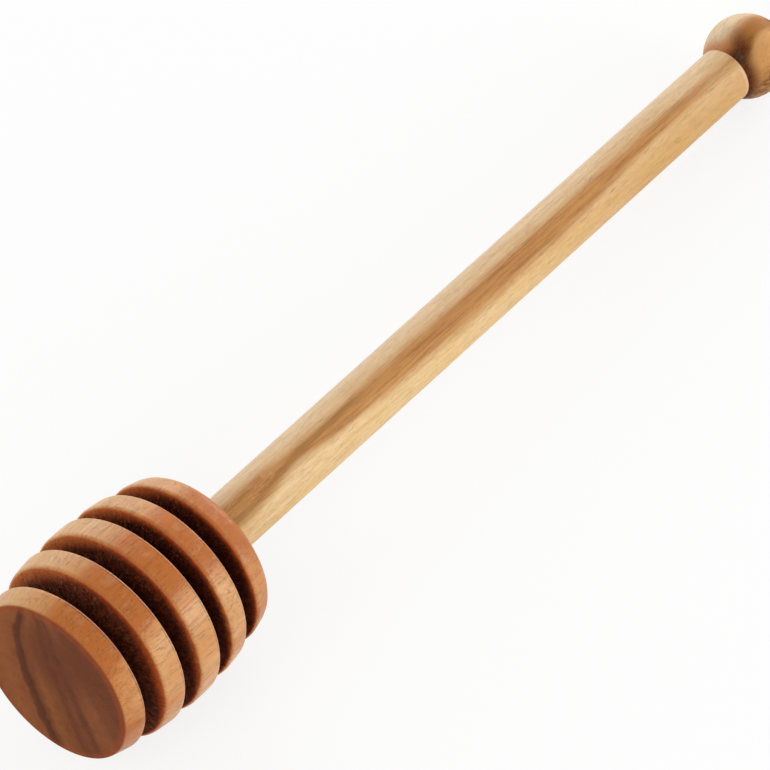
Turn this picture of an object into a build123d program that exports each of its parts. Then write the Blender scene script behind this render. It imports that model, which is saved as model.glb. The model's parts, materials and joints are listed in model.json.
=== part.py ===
from build123d import *
from math import asin, degrees, radians, sqrt, tan
import os

# A honey dipper: a turned and grooved head of one wood, glued onto the turned handle of another.
# Lengths are in millimetres. Both pieces are drawn standing along +Z, with the head's flat end
# face at height zero. At the end they are laid on their side, as the dipper lies on a table.

# The head's five rims and four grooves, cut by eye, so that no two of them are quite alike
rim_width = 3.7
groove_width = 2.9
rim_width_shares = (0.985, 0.975, 1.095, 0.95, 1.02)
groove_width_shares = (1.1, 1, 0.915, 0.995)
core_radius = 6.6
rim_edge_chamfer = 0.4

# The head's outline: a barrel, with a rounded shoulder and a back that rises to the shaft
head_radius = 14.4
widest_place_share = 0.488
front_radius_share = 0.857
back_radius_share = 0.843
shoulder_radius = 2.1
back_rise = 1.4

# The blind socket in the head's back, left by a drill with a pointed end
socket_mouth_chamfer = 0.4
drill_point_angle = 118
socket_spare_depth = 0.6
glue_thickness = 0.1

# The handle: a tenon, a straight shaft and a ball, in one piece
tenon_radius = 3
tenon_length = 19
tenon_end_chamfer = 0.5
shaft_radius = 4.2
shaft_length = 117.1
neck_radius = 3.95
ball_radius = 6.22

barrel_length = rim_width * sum(rim_width_shares) + groove_width * sum(groove_width_shares)
head_length = barrel_length + back_rise
widest_place = barrel_length * widest_place_share
socket_radius = tenon_radius + glue_thickness
socket_depth = tenon_length + socket_spare_depth
shaft_end = head_length + shaft_length
neck_place = shaft_end + (shaft_radius - neck_radius)
ball_place = neck_place + sqrt(ball_radius**2 - neck_radius**2)


def groove_places():
    """Each groove's start along the axis, and its width."""
    places = []
    start = 0
    for rim_share, groove_share in zip(rim_width_shares, groove_width_shares):
        start += rim_width * rim_share
        width = groove_width * groove_share
        places.append((start, width))
        start += width
    return places


def outer_corners():
    """The corners of the rims in the section that is being drawn, from the front to the back."""
    corners = vertices().filter_by(lambda corner: corner.X > core_radius + rim_edge_chamfer)
    return corners.sort_by(Axis.Y)


def make_turned_head():
    """The head without its socket: a grooved barrel with softened rims and a round shoulder."""
    with BuildPart() as turned:
        with BuildSketch(Plane.XZ):
            with BuildLine():
                side = ThreePointArc(
                    (head_radius * front_radius_share, 0),
                    (head_radius, widest_place),
                    (head_radius * back_radius_share, barrel_length),
                )
                Polyline(side @ 1, (shaft_radius, head_length), (0, head_length), (0, 0), side @ 0)
            make_face()
            for start, width in groove_places():
                with Locations((core_radius, start)):
                    Rectangle(head_radius, width, align=(Align.MIN, Align.MIN), mode=Mode.SUBTRACT)
            chamfer(outer_corners()[:-1], rim_edge_chamfer)
            fillet(outer_corners()[-1], shoulder_radius)
        revolve(axis=Axis.Z)
    return turned.part


def make_socket():
    """The drilled hole for the tenon, with a chamfered mouth and a pointed bottom."""
    point_depth = socket_radius / tan(radians(drill_point_angle / 2))
    with BuildPart() as socket:
        with BuildSketch(Plane.XZ):
            with BuildLine():
                Polyline(
                    (0, head_length),
                    (socket_radius + socket_mouth_chamfer, head_length),
                    (socket_radius, head_length - socket_mouth_chamfer),
                    (socket_radius, head_length - socket_depth),
                    (0, head_length - socket_depth - point_depth),
                    close=True,
                )
            make_face()
        revolve(axis=Axis.Z)
    return socket.part


def make_handle():
    tenon_end = head_length - tenon_length
    with BuildPart() as handle:
        with BuildSketch(Plane.XZ):
            with BuildLine():
                Polyline(
                    (0, ball_place + ball_radius),
                    (0, tenon_end),
                    (tenon_radius - tenon_end_chamfer, tenon_end),
                    (tenon_radius, tenon_end + tenon_end_chamfer),
                    (tenon_radius, head_length),
                    (shaft_radius, head_length),
                    (shaft_radius, shaft_end),
                    (neck_radius, neck_place),
                )
                ThreePointArc(
                    (neck_radius, neck_place),
                    (ball_radius, ball_place),
                    (0, ball_place + ball_radius),
                )
            make_face()
        revolve(axis=Axis.Z)
    return handle.part


def make_glue_film():
    """The cured glue: a thin sleeve round the tenon, closed under its end."""
    socket_floor = head_length - socket_depth
    sleeve_length = socket_depth - socket_mouth_chamfer
    sleeve = Pos(0, 0, socket_floor) * Cylinder(
        socket_radius, sleeve_length, align=(Align.CENTER, Align.CENTER, Align.MIN)
    )
    return sleeve - make_handle()


def lay_down(pieces):
    """The place of the dipper on a table: it rests on its widest rim and on its ball."""
    tilt = degrees(asin((head_radius - ball_radius) / (ball_place - widest_place)))
    turn = Rot(0, 90 + tilt, 0)
    box = Compound([turn * piece for piece in pieces]).bounding_box()
    return Pos(-box.center().X, -box.center().Y, -box.min.Z) * turn


pieces = {
    "head": make_turned_head() - make_socket(),
    "handle": make_handle(),
    "glue_film": make_glue_film(),
}
placing = lay_down(list(pieces.values()))

os.makedirs("parts", exist_ok=True)
for name, piece in pieces.items():
    export_step(placing * piece, f"parts/{name}.step")

end_face = placing * Plane.XY
print("end face centre", end_face.origin, "outward", -end_face.z_dir)
print("overall length", ball_place + ball_radius)
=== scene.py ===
import json
import math

import bpy
from mathutils import Matrix, Vector


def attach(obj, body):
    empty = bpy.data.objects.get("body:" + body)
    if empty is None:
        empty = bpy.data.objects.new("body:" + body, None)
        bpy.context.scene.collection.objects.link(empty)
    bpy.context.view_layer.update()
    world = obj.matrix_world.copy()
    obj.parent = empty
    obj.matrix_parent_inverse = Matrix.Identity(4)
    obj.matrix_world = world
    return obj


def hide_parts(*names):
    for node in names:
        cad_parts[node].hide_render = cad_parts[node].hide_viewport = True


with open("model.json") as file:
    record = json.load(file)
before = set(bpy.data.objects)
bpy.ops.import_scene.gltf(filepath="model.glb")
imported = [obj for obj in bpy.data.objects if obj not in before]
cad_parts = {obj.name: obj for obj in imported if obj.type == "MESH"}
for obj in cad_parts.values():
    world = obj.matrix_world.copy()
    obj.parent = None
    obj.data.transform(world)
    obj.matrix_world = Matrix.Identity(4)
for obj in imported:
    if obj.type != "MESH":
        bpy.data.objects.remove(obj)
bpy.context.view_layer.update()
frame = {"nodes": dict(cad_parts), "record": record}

# Lengths are in metres unless a name ends in _MM. The head's mesh and the wood's figure are drawn
# in millimetres on the dipper's own axes: u along it from the head's flat end face, v level across
# it, and w across it and up.
MM = 0.001
END_FACE = Vector(frame["record"]["mounts"][0]["pos_m"])
OUTWARD = Vector(frame["record"]["mounts"][0]["axis"])
TILT = math.asin(OUTWARD.z)

# The head as it was turned: its radius falls by the curve, times the square of the way from its
# widest place
HEAD_RADIUS_MM = 14.4
WIDEST_PLACE_MM = 14.76
BARREL_CURVE = 0.00945
RIM_WIDTHS_MM = (3.64, 3.61, 4.05, 3.52, 3.77)
GROOVE_WIDTHS_MM = (3.19, 2.9, 2.65, 2.89)
BACK_RISE_MM = 1.4
HEAD_LENGTH_MM = sum(RIM_WIDTHS_MM) + sum(GROOVE_WIDTHS_MM) + BACK_RISE_MM
RIM_EDGE_MM = 0.5
SHOULDER_MM = 2.1
CORE_RADIUS_MM = 6.6
GROOVE_CORNER_MM = 0.4

# The shaft, and the socket in the head that its tenon is glued in
SHAFT_RADIUS_MM = 4.2
SHAFT_END_MM = 148.74
SOCKET_RADIUS_MM = 3.1
SOCKET_DEPTH_MM = 19.6
MOUTH_CHAMFER_MM = 0.4
DRILL_POINT_MM = 1.86

# The head's mesh: the spacing of its rings, and how deep the end grain is torn in the groove walls.
# The tearing fades towards a wall's two edges, and its pattern is finest level across the dipper.
HEAD_SEGMENTS = 288
ARC_STEPS = 4
WALL_SPACING_MM = 0.36
PLAIN_SPACING_MM = 1.5
EDGE_SPACING_MM = 0.1
SAME_MM = 0.001
TORN_DEPTH_MM = 0.22
TEAR_FADE_MM = 1
TEARS_PER_MM = (0.3, 1.7, 0.7)
TEAR_SEED = 3.0

# The numbers of the sockets of a Mix node for colours
MIX_MASK, MIX_BASE, MIX_COLOUR, MIX_RESULT = 0, 6, 7, 2

# How rough the film of oil on the wood is, the same all over
OIL_ROUGHNESS = 0.3


def linear(colour):
    """A colour written as it looks on a screen, from 0 to 255, turned into linear light."""
    parts = [c / 255 for c in colour]
    return [c / 12.92 if c <= 0.04045 else ((c + 0.055) / 1.055) ** 2.4 for c in parts] + [1]


class Wire:
    """A number, vector or colour in a node tree. Expressions on numbers add Math nodes."""

    def __init__(self, nodes, socket):
        self.nodes = nodes
        self.socket = socket

    def __add__(self, other):
        return self.nodes.math("ADD", self, other)

    def __sub__(self, other):
        return self.nodes.math("SUBTRACT", self, other)

    def __rsub__(self, other):
        return self.nodes.math("SUBTRACT", other, self)

    def __mul__(self, other):
        return self.nodes.math("MULTIPLY", self, other)

    def __truediv__(self, other):
        return self.nodes.math("DIVIDE", self, other)

    def __rtruediv__(self, other):
        return self.nodes.math("DIVIDE", other, self)

    def __mod__(self, other):
        return self.nodes.math("MODULO", self, other)

    def __pow__(self, other):
        return self.nodes.math("POWER", self, other)

    def __neg__(self):
        return self * -1

    def __abs__(self):
        return self.nodes.math("ABSOLUTE", self)

    __radd__ = __add__
    __rmul__ = __mul__


class Nodes:
    """A node tree, with the few kinds of node that shapes, finishes and the world need."""

    def __init__(self, tree):
        self.tree = tree
        tree.nodes.clear()

    def node(self, kind, settings=None, inputs=None, output=0):
        """Any node: its type, its settings, then its sockets' values or links by name or number."""
        made = self.tree.nodes.new(kind)
        for name, value in (settings or {}).items():
            if name == "stops":
                self.set_stops(made.color_ramp, value)
            else:
                setattr(made, name, value)
        for key, value in (inputs or {}).items():
            if isinstance(value, Wire):
                self.tree.links.new(value.socket, made.inputs[key])
            else:
                made.inputs[key].default_value = value
        return Wire(self, made.outputs[output]) if made.outputs else None

    @staticmethod
    def set_stops(ramp, stops):
        while len(ramp.elements) < len(stops):
            ramp.elements.new(1)
        for element, (place, colour) in zip(ramp.elements, stops):
            element.position = place
            element.color = colour if isinstance(colour, list) else [colour] * 3 + [1]

    def math(self, operation, *values):
        return self.node("ShaderNodeMath", {"operation": operation}, dict(enumerate(values)))

    def larger(self, first, second):
        return self.math("MAXIMUM", first, second)

    def vector(self, x, y, z):
        return self.node("ShaderNodeCombineXYZ", inputs={0: x, 1: y, 2: z})

    def parts_of(self, vector):
        return [self.node("ShaderNodeSeparateXYZ", {}, {0: vector}, axis) for axis in range(3)]

    def step(self, value, low, high):
        """0 below low and 1 above high, with a smooth rise between them."""
        inputs = {"Value": value, "From Min": low, "From Max": high}
        return self.node("ShaderNodeMapRange", {"interpolation_type": "SMOOTHSTEP"}, inputs)

    def band(self, value, start, full, falling, end):
        """1 from full to falling, with a smooth rise from start and a smooth fall to the end."""
        return self.step(value, start, full) * (1 - self.step(value, falling, end))

    def curve(self, value, start, slope, bend):
        """A start, plus a slope times the value, plus a bend times its square."""
        return value * slope + value**2 * bend + start

    def sees_background(self):
        """1 for rays from the camera, off gloss and through clear things, and 0 for other rays."""
        camera = self.node("ShaderNodeLightPath", output="Is Camera Ray")
        gloss = self.node("ShaderNodeLightPath", output="Is Glossy Ray")
        clear = self.node("ShaderNodeLightPath", output="Is Transmission Ray")
        return self.larger(self.larger(camera, gloss), clear)


class Shape(Nodes):
    """A geometry tree with named inputs."""

    KINDS = {int: "NodeSocketInt", float: "NodeSocketFloat", bpy.types.Material: "NodeSocketMaterial"}

    def __init__(self, name, inputs):
        super().__init__(bpy.data.node_groups.new(name, "GeometryNodeTree"))
        self.inputs = inputs
        sockets = self.tree.interface
        sockets.new_socket("Outline", in_out="INPUT", socket_type="NodeSocketGeometry")
        sockets.new_socket("Result", in_out="OUTPUT", socket_type="NodeSocketGeometry")
        for title, value in inputs.items():
            sockets.new_socket(title, in_out="INPUT", socket_type=self.KINDS[type(value)])

    def given(self, title):
        return self.node("NodeGroupInput", output=title)

    def make(self, name, outline):
        """The finished mesh: the tree is run on the outline, then its result is kept as it is."""
        maker = bpy.data.objects.new(name + "_outline", outline)
        bpy.context.scene.collection.objects.link(maker)
        modifier = maker.modifiers.new("shape", "NODES")
        modifier.node_group = self.tree
        for item in self.tree.interface.items_tree:
            if item.name in self.inputs:
                modifier[item.identifier] = self.inputs[item.name]
        finished = maker.evaluated_get(bpy.context.evaluated_depsgraph_get())
        mesh = bpy.data.meshes.new_from_object(finished)
        mesh.name = name
        # The outline's own empty slot comes before the slot of the finish
        mesh.materials.pop(index=0)
        bpy.data.objects.remove(maker)
        piece = bpy.data.objects.new(name, mesh)
        bpy.context.scene.collection.objects.link(piece)
        return piece


def new_material(name):
    material = bpy.data.materials.new(name)
    material.use_nodes = True
    return material


class Finish(Nodes):
    """A material built from nodes, with each place on the dipper in millimetres on its own axes."""

    def __init__(self, name):
        self.material = new_material(name)
        super().__init__(self.material.node_tree)
        turn = Matrix.Rotation(-TILT, 4, "Y")
        places = {
            "Vector": self.node("ShaderNodeTexCoord", output="Object"),
            "Location": -(turn @ END_FACE) / MM,
            "Rotation": (0, -TILT, 0),
            "Scale": (1 / MM,) * 3,
        }
        self.place = self.node("ShaderNodeMapping", inputs=places)
        self.u, self.v, self.w = self.parts_of(self.place)
        self.axis_distance = (self.v**2 + self.w**2) ** 0.5

    def toward(self, turn):
        """How far a place lies from the dipper's axis in one direction across it."""
        return self.v * math.cos(turn) + self.w * math.sin(turn)

    def drawn_out(self, along, radius):
        """A place whose pattern runs straight out from the dipper's axis: a number for how far
        along the pattern is, and the direction from the axis as a place on a circle."""
        share = radius / self.axis_distance
        return self.vector(along, self.v * share, self.w * share)

    def noise(self, along, across, detail=2, roughness=0.5, shift=(0, 0, 0), place=None):
        """Noise with grains so long along the dipper and so wide across it, in millimetres."""
        scale = (1 / along, 1 / across, 1 / across)
        inputs = {"Vector": place or self.place, "Scale": scale, "Location": shift}
        stretched = self.node("ShaderNodeMapping", inputs=inputs)
        inputs = {"Vector": stretched, "Scale": 1, "Detail": detail, "Roughness": roughness}
        return self.node("ShaderNodeTexNoise", inputs=inputs)

    def ramp(self, value, places, results, interpolation):
        """A colour ramp from the first place to the last, with a result at each of them."""
        start, end = places[0], places[-1]
        stops = [((place - start) / (end - start), result) for place, result in zip(places, results)]
        inputs = {"Value": value, "From Min": start, "From Max": end}
        share = self.node("ShaderNodeMapRange", inputs=inputs)
        made = self.node("ShaderNodeValToRGB", {"stops": stops}, {0: share})
        made.socket.node.color_ramp.interpolation = interpolation
        return made

    def led_by(self, points):
        """A value that changes smoothly along the dipper, led by points of place and value."""
        places, values = zip(*points)
        low, high = min(values), max(values)
        shares = [(value - low) / (high - low) for value in values]
        return self.ramp(self.u, places, shares, "B_SPLINE") * (high - low) + low

    def between(self, across, points):
        """A colour that changes smoothly across the wood, between points of place and colour."""
        places, colours = zip(*points)
        return self.ramp(across, places, [linear(colour) for colour in colours], "EASE")

    def tint(self, base, colour, mask, strength=1, blend="MIX"):
        """The base, with a colour laid over it where the mask is 1, at most so strongly."""
        base, colour = (c if isinstance(c, Wire) else linear(c) for c in (base, colour))
        settings = {"data_type": "RGBA", "blend_type": blend}
        inputs = {MIX_MASK: mask * strength, MIX_BASE: base, MIX_COLOUR: colour}
        return self.node("ShaderNodeMix", settings, inputs, MIX_RESULT)

    def finished(self, colour, roughness, height, relief_mm, coat, gloss):
        """The surface itself. Colour, roughness, oil and relief vary over it, and gloss doesn't."""
        relief = {"Height": height, "Distance": relief_mm * MM, "Strength": 1}
        surface = {
            "Base Color": colour,
            "Roughness": roughness,
            "Normal": self.node("ShaderNodeBump", inputs=relief),
            "Coat Weight": coat,
            "Coat Roughness": OIL_ROUGHNESS,
            "Specular IOR Level": gloss,
        }
        principled = self.node("ShaderNodeBsdfPrincipled", inputs=surface)
        self.node("ShaderNodeOutputMaterial", inputs={"Surface": principled})
        return self.material


# The brown stripe on the shaft: which way it faces, and at places along the dipper how far across
# from its middle its two edges and its dark core lie
STRIPE_TURN = math.radians(112)
STRIPE_NEAR_EDGE_MM = (
    (32, -1.5),
    (41, -2.1),
    (48, -1.2),
    (60, -1.3),
    (90, -1.1),
    (120, -1.2),
    (149, -1.3),
)
STRIPE_CORE_MM = ((32, 1), (41, 0.8), (49, -0.5), (62, -0.5), (149, 0))
STRIPE_FAR_EDGE_MM = (
    (32, 2.1),
    (41, 1.8),
    (48, 0),
    (55, 1.5),
    (84, 2.2),
    (112, 1.6),
    (126, 0.4),
    (149, 0.6),
)

# How softly the edges and the core fade from those lines, how far the wood flames across them, and
# how far out from the axis the layer starts to show
NEAR_EDGE_FADES_MM = (-0.9, 0.7)
FAR_EDGE_FADES_MM = (-0.7, 0.8)
CORE_FADES_MM = (0.1, 0.8)
FLAMES_MM = 1.1
LAYER_SHOWS_MM = (1, 2)

# Along the dipper: the ends of the stripe's light flecks and of its core, where the stripe weakens,
# and where the pale wood turns browner
FLECKS_END_MM = (44, 50)
CORE_ENDS_MM = (56, 74)
STRIPE_WEAKENS_MM = (128, 149)
WOOD_BROWNS_MM = (80, 135)

# Past the shaft's end: the bevel's painted highlight, the ball's own edge, and where the ring on the
# ball pales
BEVEL_MM = (-0.7, -0.4)
BALL_EDGE_MM = (-0.1, 0.3)
RING_PALES_MM = (1, 4.5)

# Across from the stripe's middle: where the pale wood is creamy with painted sheen, straw or browner,
# where the bevel's painted highlight lies, and the same for the ball's ring, the neck's shade and the
# painted shade on the ball's low side
CREAM_SHEEN_SIDE_MM = (-4, -2.4)
STRAW_SIDE_MM = (-1, 2)
BROWN_SIDE_MM = (0, 2.5)
BEVEL_SIDE_MM = (0.5, 2)
RING_WEAKENS_MM = (0, 2)
NECK_SIDE_MM = (-2.8, -0.6)
NECK_DARK_SIDE_MM = (0, 2.5)
LOW_SIDE_MM = (2.8, 5.4)
LOW_EDGE_MM = (5.4, 6.2)

# The layer where it cuts the ball: which way it faces there, and its depths on that side of the
# axis. The ring and the stain round it fade in, are full, begin to end and are gone.
BALL_LAYER_TURN = math.radians(140)
BALL_RING_MM = (1.8, 4.1, 4.8, 5.6)
BALL_STAIN_MM = (0.6, 3, 5, 6)
BALL_TANS_MM = (1, 6)

# Out from the axis: the circle that the ring's spokes are drawn on, and where the neck's shade fades
SPOKES_RADIUS_MM = 4
NECK_FADES_MM = (4.25, 5.6)

# Colours as they look on a screen, from 0 to 255: the pale wood
SAND = (214, 179, 134)
STRAW = (226, 191, 134)
# Creamy wood, also painted paler as sheen on the side towards the key lamp
CREAM_AND_SHEEN = (226, 200, 166)
LIGHT_CREAM = (236, 207, 168)
TAN = (194, 142, 82)
LIGHT_BROWN = (190, 142, 86)
FLECK_BROWN = (172, 118, 66)
PORE_BROWN = (128, 80, 36)
# A painted highlight on the bevel at the shaft's end
BEVEL_HIGHLIGHT = (232, 190, 158)

# The brown layer on the shaft
STRIPE_BROWN = (188, 128, 66)
STRIPE_STREAK = (156, 98, 44)
STRIPE_FLECK = (210, 158, 104)
STRIPE_DARK = (144, 92, 34)

# The brown layer on the ball, and the shade round the ball's neck
# The ring's inner dark is partly the wood and partly painted shade of the neck's crease
RING_DARK_AND_SHADE = (84, 32, 3)
RING_OUTER = (162, 106, 50)
RING_SPOKE = (44, 14, 2)
BALL_TAN = (198, 138, 76)
BALL_STAIN = (176, 108, 48)
NECK_LIGHT = (186, 108, 50)
NECK_DEEP = (62, 24, 3)
NECK_DARK = (88, 42, 10)
# Painted shade on the ball's low side
LOW_SIDE_SHADE = (156, 122, 88)


class HandleWood(Finish):
    """Pale wood, with one wide brown layer that just breaks the surface as a stripe."""

    def __init__(self):
        super().__init__("handle_wood")
        self.out = self.toward(STRIPE_TURN)
        self.beside = self.toward(STRIPE_TURN + math.pi / 2)
        self.past_end = self.u - SHAFT_END_MM
        self.on_ball = self.step(self.past_end, *BALL_EDGE_MM)
        flames = self.noise(along=9, across=0.6, detail=3, roughness=0.6, shift=(0, 7, 0))
        self.flames = (flames - 0.5) * FLAMES_MM
        self.streaks = self.noise(along=10, across=0.4, detail=3, roughness=0.65)
        self.cloud = self.noise(along=14, across=1.6, detail=3, roughness=0.6, shift=(3, 0, 0))
        self.fleck = self.noise(along=1.2, across=0.4, detail=3, roughness=0.7, shift=(0, 3, 9))
        pores = self.noise(along=2.6, across=0.12, detail=2, roughness=0.7, shift=(0, 0, 5))
        self.pores = self.step(pores, 0.58, 0.75)

    def ground(self):
        """The pale wood: creamy on one side of the stripe, partly painted sheen towards the key lamp,
        straw and then browner on the other.
        """
        colour = self.tint(SAND, STRAW, self.step(self.beside, *STRAW_SIDE_MM))
        # Creamy, and partly painted sheen, on the side towards the key lamp
        colour = self.tint(colour, CREAM_AND_SHEEN, 1 - self.step(self.beside, *CREAM_SHEEN_SIDE_MM))
        colour = self.tint(colour, LIGHT_CREAM, self.step(self.cloud, 0.35, 0.7), strength=0.5)
        browner = self.step(self.u, *WOOD_BROWNS_MM) * self.step(self.beside, *BROWN_SIDE_MM)
        colour = self.tint(colour, TAN, browner, strength=0.62)
        streaked = self.step(self.streaks, 0.42, 0.75)
        return self.tint(colour, LIGHT_BROWN, streaked, strength=0.35)

    def stripe_mask(self):
        """Where the brown layer breaks the shaft's surface. It weakens towards the ball."""
        near_edge = self.led_by(STRIPE_NEAR_EDGE_MM) + self.flames
        far_edge = self.led_by(STRIPE_FAR_EDGE_MM) - self.flames
        rise = [near_edge + fade for fade in NEAR_EDGE_FADES_MM]
        fall = [far_edge + fade for fade in FAR_EDGE_FADES_MM]
        mask = self.band(self.beside, *rise, *fall) * self.step(self.out, *LAYER_SHOWS_MM)
        mask = mask * (1 - self.on_ball) * (0.75 + self.cloud * 0.35)
        return mask * (1 - self.step(self.u, *STRIPE_WEAKENS_MM) * 0.3)

    def stripe_colour(self):
        """Brown with darker streaks. Near the head it has light flecks and a dark core."""
        streaked = self.step(self.streaks + (self.cloud - 0.5) * 0.5, 0.36, 0.7)
        colour = self.tint(STRIPE_BROWN, STRIPE_STREAK, streaked)
        flecked = self.step(self.fleck, 0.5, 0.66) * (1 - self.step(self.u, *FLECKS_END_MM))
        colour = self.tint(colour, STRIPE_FLECK, flecked, strength=0.6)
        off_core = abs(self.beside - self.led_by(STRIPE_CORE_MM) - self.flames * 1.2)
        core = (1 - self.step(off_core, *CORE_FADES_MM)) * (1 - self.step(self.u, *CORE_ENDS_MM))
        return self.tint(colour, STRIPE_DARK, core, strength=0.75)

    def shaft(self):
        """The pale wood with its stripe, and a painted highlight on the bevel at the shaft's end."""
        colour = self.tint(self.ground(), self.stripe_colour(), self.stripe_mask(), strength=0.92)
        # A painted highlight on one side of the shaft end's bevel
        bevel_highlight = self.step(self.past_end, *BEVEL_MM) * (1 - self.on_ball)
        bevel_highlight = bevel_highlight * self.step(self.beside, *BEVEL_SIDE_MM)
        return self.tint(colour, BEVEL_HIGHLIGHT, bevel_highlight, strength=0.6)

    def ring_colour(self, pale):
        """The ring on the ball: dark with darker spokes, except where it has paled away from the
        neck. Close to the neck its dark is partly the wood and partly painted shade.
        """
        from_axis = self.drawn_out(self.u, SPOKES_RADIUS_MM)
        spokes = self.noise(along=5, across=0.25, detail=2, roughness=0.6, place=from_axis)
        spokes = self.step(spokes, 0.45, 0.65) * (1 - pale)
        return self.tint(self.tint(RING_DARK_AND_SHADE, RING_OUTER, pale), RING_SPOKE, spokes, strength=0.7)

    def with_ring(self, colour):
        """The brown layer where it cuts the ball: tan wood, a stain in it, and in that the ring."""
        layer = self.toward(BALL_LAYER_TURN) + self.flames * 0.5
        pale = self.step(self.past_end + self.flames, *RING_PALES_MM)
        tanned = self.step(layer, *BALL_TANS_MM) * self.on_ball
        colour = self.tint(colour, BALL_TAN, tanned, strength=0.7)
        shown = self.on_ball * (1 - self.step(self.beside, *RING_WEAKENS_MM) * 0.85)
        stain = self.band(layer, *BALL_STAIN_MM) * (1 - pale * 0.8) * shown
        colour = self.tint(colour, BALL_STAIN, stain, strength=0.6)
        return self.tint(colour, self.ring_colour(pale), self.band(layer, *BALL_RING_MM) * shown)

    def with_neck(self, colour):
        """The shade close round the ball's neck, lighter on one side of the stripe."""
        shade_side = self.step(self.beside, *NECK_SIDE_MM)
        neck = self.on_ball * (1 - self.step(self.axis_distance, *NECK_FADES_MM))
        dark = self.tint(NECK_DEEP, NECK_DARK, self.step(self.beside, *NECK_DARK_SIDE_MM))
        shade = self.tint(NECK_LIGHT, dark, shade_side)
        return self.tint(colour, shade, neck * (0.7 + shade_side * 0.3))

    def with_low_shade(self, colour):
        """Painted shade on the ball's low side, broken into streaks."""
        # Painted shade on the ball's low side, lighter at its very edge
        low = self.step(self.beside, *LOW_SIDE_MM) * (1 - self.step(self.beside, *LOW_EDGE_MM) * 0.4)
        streaked = self.step(self.cloud + (self.streaks - 0.5) * 0.8, 0.35, 0.65)
        low = low * self.on_ball * (0.3 + streaked * 0.6)
        return self.tint(colour, LOW_SIDE_SHADE, low, blend="MULTIPLY")

    def made(self):
        colour = self.with_low_shade(self.with_neck(self.with_ring(self.shaft())))
        colour = self.tint(colour, PORE_BROWN, self.pores, strength=0.25)
        colour = self.tint(colour, FLECK_BROWN, self.step(self.fleck, 0.4, 0.7), strength=0.18)
        return self.finished(
            colour=colour,
            roughness=0.45 + self.streaks * 0.14,
            height=self.streaks * 0.6 - self.pores * 0.8,
            relief_mm=0.05,
            coat=0.08,
            gloss=0.06,
        )


# The head's figure: places across its grain in millimetres, with the wood's colour there, on the end
# grain and on the rims. The rims' palest stops at both ends are partly the wood's figure and partly
# painted highlight.
END_FIGURE = (
    (-16, (112, 62, 36)),
    (-12.5, (122, 69, 40)),
    (-10.8, (138, 80, 47)),
    (-9, (134, 78, 45)),
    (-7.7, (106, 60, 35)),
    (-6.6, (120, 69, 40)),
    (-5.2, (108, 61, 35)),
    (-4.2, (126, 73, 40)),
    (-2, (140, 83, 45)),
    (-0.9, (120, 68, 38)),
    (-0.1, (90, 49, 28)),
    (0.7, (98, 54, 32)),
    (1.6, (138, 80, 45)),
    (4, (146, 86, 48)),
    (7.5, (132, 76, 42)),
)
# The palest stops at both ends, towards the key and side lamps, are partly painted highlight
RIM_FIGURE = (
    (-16, (207, 144, 84)),
    (-14.6, (213, 158, 104)),
    (-13.6, (200, 134, 76)),
    (-12.3, (180, 103, 44)),
    (-8, (180, 102, 40)),
    (-4, (184, 106, 45)),
    (-2.9, (188, 116, 58)),
    (-2, (198, 136, 76)),
    (0.2, (204, 146, 88)),
    (3, (212, 160, 104)),
    (8, (222, 176, 120)),
)

# How the layers of both lie as they run up the head, as a start in millimetres, a slope and a bend.
# Below the middle the rims' layers turn the other way. The end face's turn near its top, and lie
# closer together there. All of them sway, and the finer grain shifts them.
RIM_LAYERS = (0.108, -0.482, 0.012)
RIM_LOW_TURN = 0.75
RIM_GRAIN_MM = 1.4
END_LAYERS = (4.455, 0.322, -0.0118)
END_SPREAD = (1.04, -0.03, -0.0018)
END_TOP_MM = (5, 11)
END_TURN_MM = 1.2
END_GRAIN_MM = 1.1
SWAY_MM = 1.6

# Where the end face passes into the rims along the dipper, where the rims pass into the torn walls
# under their edges, and how far out of a groove its torn colour is still full
END_EDGE_MM = (0.05, 0.4)
WALL_EDGE_MM = (0.05, 0.45)
TORN_OVERLAP_MM = 0.1

# On the end face: the middle of its plum patch, how far out that fades, how ragged it is and how
# far from the dark line it begins, and the width of the worn edge
PLUM_V_MM = -1
PLUM_W_MM = 5
PLUM_FADES_MM = (4, 10)
PLUM_RAGGED_MM = 4
PLUM_BEGINS_MM = (0.3, 2)
WORN_EDGE_MM = (0.2, 1.3)

# Before each rim's back edge lie a dark line and then a painted highlight line. They come in over
# these places up the head, and go over these level across it and along it. Behind them is the back's
# cut grain.
DARK_LINE_MM = (0.56, 0.34)
HIGHLIGHT_LINE_MM = (0.32, 0)
LINE_FADES_MM = 0.06
HIGHLIGHT_UP_MM = (-2, 6)
HIGHLIGHT_ACROSS_MM = (-1, 5)
HIGHLIGHT_ALONG_MM = (6, 26)
BACK_GRAIN_MM = (29.6, 30.5)

# In the grooves: the front of the head along the dipper, the side whose fibres catch light, and the
# lip, painted light in the rims' own colour under their edges. It is narrow low on the dipper and
# grows higher up, the most towards one side, and near the front towards the other side too.
NEAR_FRONT_MM = (5, 20)
LIT_SIDE_MM = (-9, 6)
LIP_UP_MM = (-6, 3)
LIP_SIDE_MM = (1, 7)
LIP_FRONT_SIDE_MM = (5, 11)
LIP_NARROW_MM = 0.7
LIP_GROWS_MM = 0.9
LIP_SIDE_GROWS_MM = 1.5
LIP_RAGGED_MM = 1.6

# Colours of the rims and the end face
RIM_STREAK = (152, 82, 36)
RIM_TICK = (104, 48, 18)
RIM_PATCH = (228, 164, 112)
RIM_BACK = (132, 68, 32)
DARK_LINE = (96, 48, 24)
# A painted highlight along the rims' back edges
BACK_EDGE_HIGHLIGHT = (222, 192, 172)
PLUM = (104, 56, 35)
END_MOTTLE = (96, 50, 34)
END_WORN = (156, 74, 42)

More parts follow.
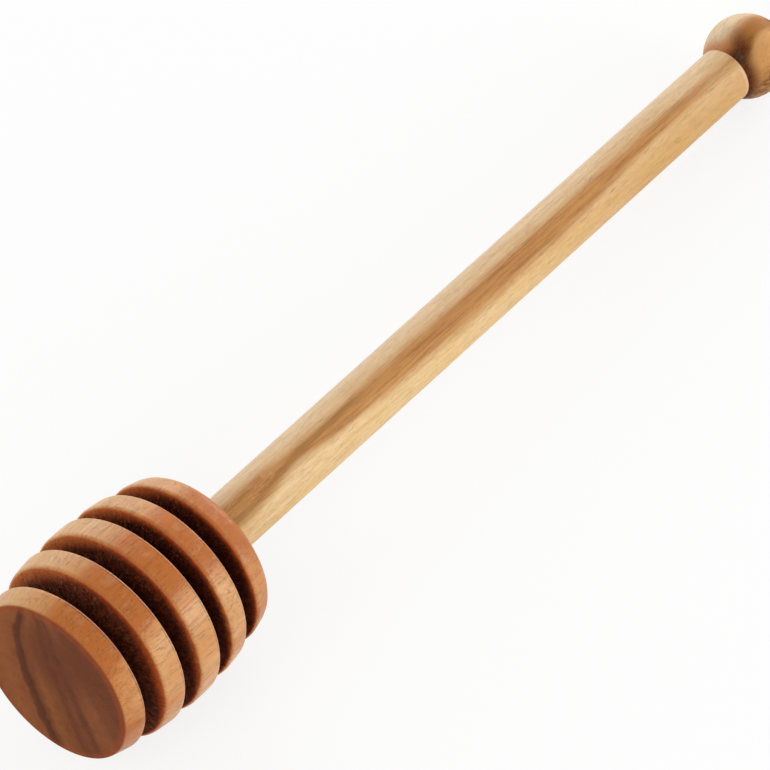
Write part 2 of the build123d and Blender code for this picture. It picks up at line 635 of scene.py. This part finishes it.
# Colours of the torn end grain in the grooves, dark wood painted darker still as shade: its pits and
# what stands up between them, each also near the head's front, its fibres, and the painted reddish
# glow on the lit lip
TORN_DEEP = (62, 20, 5)
TORN_DEEP_FRONT = (78, 32, 12)
TORN_RAISED = (104, 38, 12)
TORN_RAISED_FRONT = (128, 60, 32)
TORN_FIBRE = (166, 118, 92)
# A painted reddish glow on the lit lip
LIP_GLOW_TINT = (250, 184, 148)


def rim_places():
    """Each rim's start and end along the axis, from the front to the back."""
    places = []
    start = 0
    for rim_width, gap in zip(RIM_WIDTHS_MM, (*GROOVE_WIDTHS_MM, 0)):
        places.append((start, start + rim_width))
        start += rim_width + gap
    return places


class HeadWood(Finish):
    """Reddish wood: oiled rims, darker end grain with growth lines, torn dark groove walls painted
    darker still as shade, and painted highlights.
    """

    def __init__(self):
        super().__init__("head_wood")
        outline = HEAD_RADIUS_MM - (self.u - WIDEST_PLACE_MM) ** 2 * BARREL_CURVE
        self.depth = outline - self.axis_distance
        self.on_end = 1 - self.step(self.u, *END_EDGE_MM)
        self.in_groove = self.groove_mask() * self.step(self.depth, *WALL_EDGE_MM)
        self.sway = (self.noise(along=70, across=6, shift=(0, 2, 0)) - 0.5) * SWAY_MM
        self.streaks = self.noise(along=8, across=0.4, detail=3, roughness=0.6)
        self.patches = self.noise(along=3, across=1.5, shift=(8, 0, 0))
        self.mottle = self.noise(along=2, across=0.5, roughness=0.6, shift=(0, 6, 0))
        ticks = self.noise(along=2.4, across=0.1, roughness=0.6, shift=(4, 0, 0))
        self.ticks = self.step(ticks + (self.patches - 0.5) * 0.4, 0.56, 0.7)
        wall = self.drawn_out(self.depth + self.u * 3, HEAD_RADIUS_MM)
        self.ragged = self.noise(along=1.2, across=0.9, detail=3, roughness=0.6, place=wall)
        self.fibres = self.noise(
            along=0.48, across=0.42, detail=3, roughness=0.6, shift=(0, 5, 0), place=wall
        )

    def groove_mask(self):
        """1 in the grooves, falling to 0 over the rounded edges of the rims."""
        mask = 0
        places = rim_places()
        for (_, start), (end, _) in zip(places, places[1:]):
            rise = (start - RIM_EDGE_MM, start - TORN_OVERLAP_MM)
            fall = (end + TORN_OVERLAP_MM, end + RIM_EDGE_MM)
            mask = mask + self.band(self.u, *rise, *fall)
        return mask

    def back_line(self, first, last):
        """1 between two places before the back edge of each rim but the last."""
        mask = 0
        for _, edge in rim_places()[:-1]:
            rise = (edge - first - LINE_FADES_MM, edge - first + LINE_FADES_MM)
            fall = (edge - last - LINE_FADES_MM, edge - last + LINE_FADES_MM)
            mask = mask + self.band(self.u, *rise, *fall)
        return mask

    def oiled(self):
        """The rims' figure: bands across the grain, the palest partly painted highlight, fine dark
        streaks and ticks, light patches.
        """
        layers = self.v + self.curve(self.w, *RIM_LAYERS) - self.larger(-self.w, 0) * RIM_LOW_TURN
        layers = layers + self.sway + (self.streaks - 0.5) * RIM_GRAIN_MM
        colour = self.between(layers, RIM_FIGURE)
        streaked = self.step(self.streaks, 0.45, 0.75)
        colour = self.tint(colour, RIM_STREAK, streaked, strength=0.4)
        colour = self.tint(colour, RIM_TICK, self.ticks, strength=0.4)
        return self.tint(colour, RIM_PATCH, self.step(self.patches, 0.5, 0.75), strength=0.25)

    def with_highlit_backs(self, colour):
        """The lines on the rims' back edges, a dark line and a painted highlight, and the back's cut
        grain.
        """
        # Where the painted highlight lies: high up, to one side and near the head's front
        highlit = self.step(self.w, *HIGHLIGHT_UP_MM) * (1 - self.step(self.v, *HIGHLIGHT_ACROSS_MM))
        highlit = highlit * (1 - self.step(self.u, *HIGHLIGHT_ALONG_MM) * 0.75)
        highlit = highlit * self.step(self.patches, 0.2, 0.6)
        dark = self.back_line(*DARK_LINE_MM) * highlit
        colour = self.tint(colour, DARK_LINE, dark, strength=0.6)
        light = self.back_line(*HIGHLIGHT_LINE_MM) * highlit
        colour = self.tint(colour, BACK_EDGE_HIGHLIGHT, light, strength=0.45)
        cut = self.step(self.u, *BACK_GRAIN_MM)
        return self.tint(colour, RIM_BACK, cut * (0.45 + self.mottle * 0.3))

    def end_grain(self):
        """The flat end face: growth lines that bend, a plum patch, and a worn edge."""
        grain = self.noise(along=60, across=1.8, roughness=0.4, shift=(0, 0, 4))
        top = self.step(self.w, *END_TOP_MM) * END_TURN_MM
        lines = self.v - self.curve(self.w, *END_LAYERS) + top + self.sway * 0.6
        lines = lines / self.curve(self.w, *END_SPREAD)
        colour = self.between(lines + (grain - 0.5) * END_GRAIN_MM, END_FIGURE)
        off_plum = ((self.v - PLUM_V_MM) ** 2 * 0.7 + (self.w - PLUM_W_MM) ** 2) ** 0.5
        plum = 1 - self.step(off_plum + self.patches * PLUM_RAGGED_MM, *PLUM_FADES_MM)
        plum = plum * self.step(-lines, *PLUM_BEGINS_MM)
        colour = self.tint(colour, PLUM, plum, strength=0.75)
        colour = self.tint(colour, END_MOTTLE, self.step(self.mottle, 0.4, 0.75), strength=0.2)
        worn = 1 - self.step(self.depth + (self.mottle - 0.5), *WORN_EDGE_MM)
        return self.tint(colour, END_WORN, worn, strength=0.6)

    def lit_lip_mask(self, near_front):
        """Where painted light falls on the groove walls under the rims' edges, in the rims' own
        colour.
        """
        sides = self.step(self.v, *LIP_SIDE_MM)
        sides = self.larger(sides, self.step(-self.v, *LIP_FRONT_SIDE_MM) * near_front)
        grown = self.step(self.w, *LIP_UP_MM) * (LIP_GROWS_MM + sides * LIP_SIDE_GROWS_MM)
        under = self.depth + (self.ragged - 0.5) * LIP_RAGGED_MM
        return 1 - self.step(under, 0, LIP_NARROW_MM + grown)

    def torn_walls(self, rims):
        """The grooves' end grain: ragged, dark and painted darker still as shade, with fibres that
        catch light, and the lip of painted light.
        """
        near_front = 1 - self.step(self.u, *NEAR_FRONT_MM)
        deep = self.tint(TORN_DEEP, TORN_DEEP_FRONT, near_front)
        raised = self.tint(TORN_RAISED, TORN_RAISED_FRONT, near_front)
        colour = self.tint(deep, raised, self.step(self.ragged, 0.4, 0.65))
        lit = 0.16 + self.step(self.v, *LIT_SIDE_MM) * 0.5
        colour = self.tint(colour, TORN_FIBRE, self.step(self.fibres, 0.52, 0.68) * lit)
        # The lip as painted light: the rims' colour with a painted reddish glow
        lit_lip = self.tint(rims, LIP_GLOW_TINT, 1, blend="MULTIPLY")
        return self.tint(colour, lit_lip, self.lit_lip_mask(near_front))

    def made(self):
        rims = self.oiled()
        colour = self.tint(self.with_highlit_backs(rims), self.end_grain(), self.on_end)
        colour = self.tint(colour, self.torn_walls(rims), self.in_groove)
        bare = self.larger(self.on_end, self.in_groove)
        height = self.streaks * 0.5 - self.ticks * 0.7
        return self.finished(
            colour=colour,
            roughness=0.36 + self.streaks * 0.1 + bare * 0.4,
            height=height + self.in_groove * self.fibres * 6 + self.on_end * self.mottle,
            relief_mm=0.05,
            coat=0.28 - bare * 0.26,
            gloss=0.1,
        )


# Colours of the glue
GLUE_CLEAR = (214, 190, 140)
GLUE_DARK = (186, 152, 96)


def glue():
    """Cured glue, a little cloudy."""
    f = Finish("cured_glue")
    cloud = f.noise(along=2, across=1)
    return f.finished(
        colour=f.tint(GLUE_CLEAR, GLUE_DARK, cloud),
        roughness=0.3 + cloud * 0.2,
        height=cloud,
        relief_mm=0.03,
        coat=0.2,
        gloss=0.4,
    )


def barrel_radius(place):
    return HEAD_RADIUS_MM - BARREL_CURVE * (place - WIDEST_PLACE_MM) ** 2


def head_corners():
    """The head's outline from its front to the socket's bottom: place, distance from the axis and
    rounding of each corner."""
    corners = [(0, 0, 0)]
    for start, end in rim_places():
        if start:
            corners.append((start, CORE_RADIUS_MM, GROOVE_CORNER_MM))
        middle = (start + end) / 2
        corners.append((start, barrel_radius(start), RIM_EDGE_MM))
        corners.append((middle, barrel_radius(middle), 0))
        corners.append((end, barrel_radius(end), RIM_EDGE_MM))
        corners.append((end, CORE_RADIUS_MM, GROOVE_CORNER_MM))
    # The last rim has no groove behind it: its shoulder is rounded, and the back rises to the shaft
    corners[-2:] = [(end, barrel_radius(end), SHOULDER_MM)]
    corners.append((HEAD_LENGTH_MM, SHAFT_RADIUS_MM, 0))
    corners.append((HEAD_LENGTH_MM, SOCKET_RADIUS_MM + MOUTH_CHAMFER_MM, 0))
    corners.append((HEAD_LENGTH_MM - MOUTH_CHAMFER_MM, SOCKET_RADIUS_MM, 0))
    corners.append((HEAD_LENGTH_MM - SOCKET_DEPTH_MM, SOCKET_RADIUS_MM, 0))
    corners.append((HEAD_LENGTH_MM - SOCKET_DEPTH_MM - DRILL_POINT_MM, 0, 0))
    return corners


def rounded(corners):
    """The corners as points, each rounded one replaced by the points of its arc."""
    points = []
    for number, (place, radius, rounding) in enumerate(corners):
        corner = Vector((place, radius))
        if not rounding:
            points.append(corner)
            continue
        back = (Vector(corners[number - 1][:2]) - corner).normalized()
        ahead = (Vector(corners[number + 1][:2]) - corner).normalized()
        half = back.angle(ahead) / 2
        middle = (back + ahead).normalized()
        centre = corner + middle * rounding / math.sin(half)
        sweep = math.pi - 2 * half
        turn = 1 if back.x * ahead.y - back.y * ahead.x > 0 else -1
        for step in range(ARC_STEPS + 1):
            angle = turn * sweep * (0.5 - step / ARC_STEPS)
            points.append(centre - Matrix.Rotation(angle, 2) @ middle * rounding)
    return points


def on_wall(first, second):
    """Whether two points of the outline are on one wall of a groove."""
    upright = abs(first.x - second.x) < SAME_MM
    return upright and RIM_WIDTHS_MM[0] - SAME_MM < first.x < HEAD_LENGTH_MM - RIM_WIDTHS_MM[-1]


def spaced(points):
    """The outline with more points on its long stretches, close together on the groove walls."""
    closer = [points[0]]
    for first, second in zip(points, points[1:]):
        length = (second - first).length
        spacing = WALL_SPACING_MM if on_wall(first, second) else PLAIN_SPACING_MM
        count = math.ceil(length / spacing)
        shares = [step / count for step in range(1, count)]
        if length > 4 * EDGE_SPACING_MM:
            edge = EDGE_SPACING_MM / length
            shares = [edge] + shares + [1 - edge]
        closer += [first.lerp(second, share) for share in shares] + [second]
    return closer


def head_outline():
    """The outline as a mesh of points, each with how much of the tearing it gets, and which way."""
    points = spaced(rounded(head_corners()))
    mesh = bpy.data.meshes.new("head_outline")
    mesh.from_pydata([(place, 0, radius) for place, radius in points], [], [])
    tear = mesh.attributes.new("tear", "FLOAT", "POINT")
    for number, point in enumerate(points[1:-1], 1):
        before, after = points[number - 1], points[number + 1]
        if on_wall(before, point) or on_wall(point, after):
            inward = 1 if after.y > before.y else -1
            deep = min(1, (barrel_radius(point.x) - point.y) / TEAR_FADE_MM)
            clear = min(1, (point.y - CORE_RADIUS_MM) / TEAR_FADE_MM)
            tear.data[number].value = inward * deep * clear
    return mesh


def sampled(s, kind, source, value, index):
    """A value read off one point of another mesh."""
    inputs = {0: source, "Value": value, "Index": index}
    return s.node("GeometryNodeSampleIndex", {"data_type": kind}, inputs)


def laid_down(s, shape):
    """A shape drawn in millimetres along the dipper, laid on the table at its real size."""
    inputs = {0: shape, "Translation": END_FACE, "Rotation": (0, TILT, 0), "Scale": (MM,) * 3}
    return s.node("GeometryNodeTransform", inputs=inputs)


def tearing(s, u, v, w):
    """How deep the end grain is torn at each place: nothing, or up to the full depth."""
    pattern = s.vector(*(axis * scale for axis, scale in zip((u, v, w), TEARS_PER_MM)))
    inputs = {"Vector": pattern, "W": s.given("Seed"), "Scale": 1, "Detail": 3}
    rough = s.node("ShaderNodeTexNoise", {"noise_dimensions": "4D"}, inputs)
    return s.step(rough, 0.4, 0.75) * s.given("Torn Depth")


def turned_head(material):
    """The head turned from its outline, with the end grain torn out of its groove walls."""
    inputs = {"Segments": HEAD_SEGMENTS, "Torn Depth": TORN_DEPTH_MM, "Seed": TEAR_SEED}
    s = Shape("turned_head", {**inputs, "Finish": material})
    outline = s.given("Outline")
    segments = s.given("Segments")
    count = s.node("GeometryNodeAttributeDomainSize", {"component": "MESH"}, {0: outline})
    size = {"Vertices X": segments + 1, "Vertices Y": count}
    sheet = s.node("GeometryNodeMeshGrid", inputs=size)
    index = s.node("GeometryNodeInputIndex")
    rung = index % count
    angle = s.math("FLOOR", index / count) / segments * math.tau
    place = s.node("GeometryNodeInputPosition")
    tear = s.node("GeometryNodeInputNamedAttribute", {"data_type": "FLOAT"}, {"Name": "tear"})
    u, _, radius = s.parts_of(sampled(s, "FLOAT_VECTOR", outline, place, rung))
    v = radius * s.math("COSINE", angle)
    w = radius * s.math("SINE", angle)
    torn = sampled(s, "FLOAT", outline, tear, rung)
    inputs = {0: sheet, "Position": s.vector(u + tearing(s, u, v, w) * torn, v, w)}
    turned = s.node("GeometryNodeSetPosition", inputs=inputs)
    closed = s.node("GeometryNodeMergeByDistance", inputs={0: turned, "Distance": SAME_MM})
    smooth = s.node("GeometryNodeSetShadeSmooth", inputs={0: closed})
    real = s.node("GeometryNodeRealizeInstances", inputs={0: laid_down(s, smooth)})
    inputs = {0: real, "Material": s.given("Finish")}
    dressed = s.node("GeometryNodeSetMaterial", inputs=inputs)
    s.node("NodeGroupOutput", inputs={"Result": dressed})
    return s.make("grooved_head", head_outline())


def dress(node, material):
    for slot in frame["nodes"][node].material_slots:
        slot.material = material


head = turned_head(HeadWood().made())
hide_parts("head")
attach(head, "root")
dress("handle", HandleWood().made())
dress("glue_film", glue())

# The studio: a pale floor that shows nearly white, soft light from all round, and four soft lamps
FLOOR_SIZE = 6
FLOOR_COLOUR = (248, 248, 248)
FLOOR_WHITENESS = 0.8
WHITE = (1, 1, 1, 1)
SOFT_LIGHT = 0.38


def make_floor():
    """A plain pale floor."""
    half = FLOOR_SIZE / 2
    corners = [(-half, -half, 0), (half, -half, 0), (half, half, 0), (-half, half, 0)]
    mesh = bpy.data.meshes.new("floor")
    mesh.from_pydata(corners, [], [(0, 1, 2, 3)])
    floor = bpy.data.objects.new("floor", mesh)
    bpy.context.scene.collection.objects.link(floor)
    material = new_material("pale_floor")
    f = Nodes(material.node_tree)
    plain = f.node("ShaderNodeBsdfDiffuse", inputs={"Color": linear(FLOOR_COLOUR)})
    white = f.node("ShaderNodeEmission", inputs={"Color": WHITE, "Strength": 1})
    inputs = {0: f.sees_background() * FLOOR_WHITENESS, 1: plain, 2: white}
    surface = f.node("ShaderNodeMixShader", inputs=inputs)
    f.node("ShaderNodeOutputMaterial", inputs={"Surface": surface})
    mesh.materials.append(material)


def make_world():
    """White where the camera or gloss sees it, and a softer light on the dipper."""
    world = bpy.data.worlds.new("studio")
    bpy.context.scene.world = world
    world.use_nodes = True
    n = Nodes(world.node_tree)
    soft = n.node("ShaderNodeBackground", inputs={"Color": WHITE, "Strength": SOFT_LIGHT})
    white = n.node("ShaderNodeBackground", inputs={"Color": WHITE, "Strength": 1})
    chosen = n.node("ShaderNodeMixShader", inputs={0: n.sees_background(), 1: soft, 2: white})
    n.node("ShaderNodeOutputWorld", inputs={"Surface": chosen})


def make_lamp(name, direction, distance, size, power):
    """A square soft lamp that looks at the dipper from one direction."""
    lamp = bpy.data.lights.new(name, "AREA")
    lamp.shape = "SQUARE"
    lamp.size = size
    lamp.energy = power
    holder = bpy.data.objects.new(name, lamp)
    bpy.context.scene.collection.objects.link(holder)
    away = Vector(direction).normalized()
    facing = away.to_track_quat("Z", "Y").to_matrix().to_4x4()
    holder.matrix_world = Matrix.Translation(away * distance) @ facing


make_floor()
make_world()
make_lamp("front_lamp", direction=(-0.77, -0.15, 0.62), distance=1, size=0.7, power=4)
make_lamp("key_lamp", direction=(0.55, 0.8, 0.38), distance=1.1, size=0.9, power=7)
make_lamp("side_lamp", direction=(0.55, -0.82, 0.24), distance=1, size=0.7, power=7)
make_lamp("back_lamp", direction=(0.95, 0.1, 0.25), distance=1, size=0.5, power=3)

# The camera stands where the photograph was taken from: the head's end face lies at one place in
# the picture, at one distance, and the dipper's axis runs up to the right.
PICTURE_WIDTH = 770
END_FACE_PIXEL = (52, 683.3)
FOCAL_PIXELS = 6000
DISTANCE = 0.78306
CAMERA_AZIMUTH = math.radians(-51.487)
CAMERA_ELEVATION = math.radians(50.17)
SENSOR_WIDTH_MM = 36


def make_camera():
    sin_a, cos_a = math.sin(CAMERA_AZIMUTH), math.cos(CAMERA_AZIMUTH)
    sin_e, cos_e = math.sin(CAMERA_ELEVATION), math.cos(CAMERA_ELEVATION)
    right = Vector((cos_a, sin_a, 0))
    up = Vector((-sin_a * sin_e, cos_a * sin_e, cos_e))
    back = Vector((sin_a * cos_e, -cos_a * cos_e, sin_e))
    centre = PICTURE_WIDTH / 2
    across = (END_FACE_PIXEL[0] - centre) / FOCAL_PIXELS * DISTANCE
    down = (END_FACE_PIXEL[1] - centre) / FOCAL_PIXELS * DISTANCE
    data = bpy.data.cameras.new("camera")
    data.sensor_width = SENSOR_WIDTH_MM
    data.lens = FOCAL_PIXELS / PICTURE_WIDTH * SENSOR_WIDTH_MM
    camera = bpy.data.objects.new("camera", data)
    bpy.context.scene.collection.objects.link(camera)
    place = END_FACE - right * across + up * down + back * DISTANCE
    axes = Matrix((right, up, back)).transposed().to_4x4()
    camera.matrix_world = Matrix.Translation(place) @ axes
    bpy.context.scene.camera = camera


make_camera()
bpy.context.scene.view_settings.view_transform = "Standard"
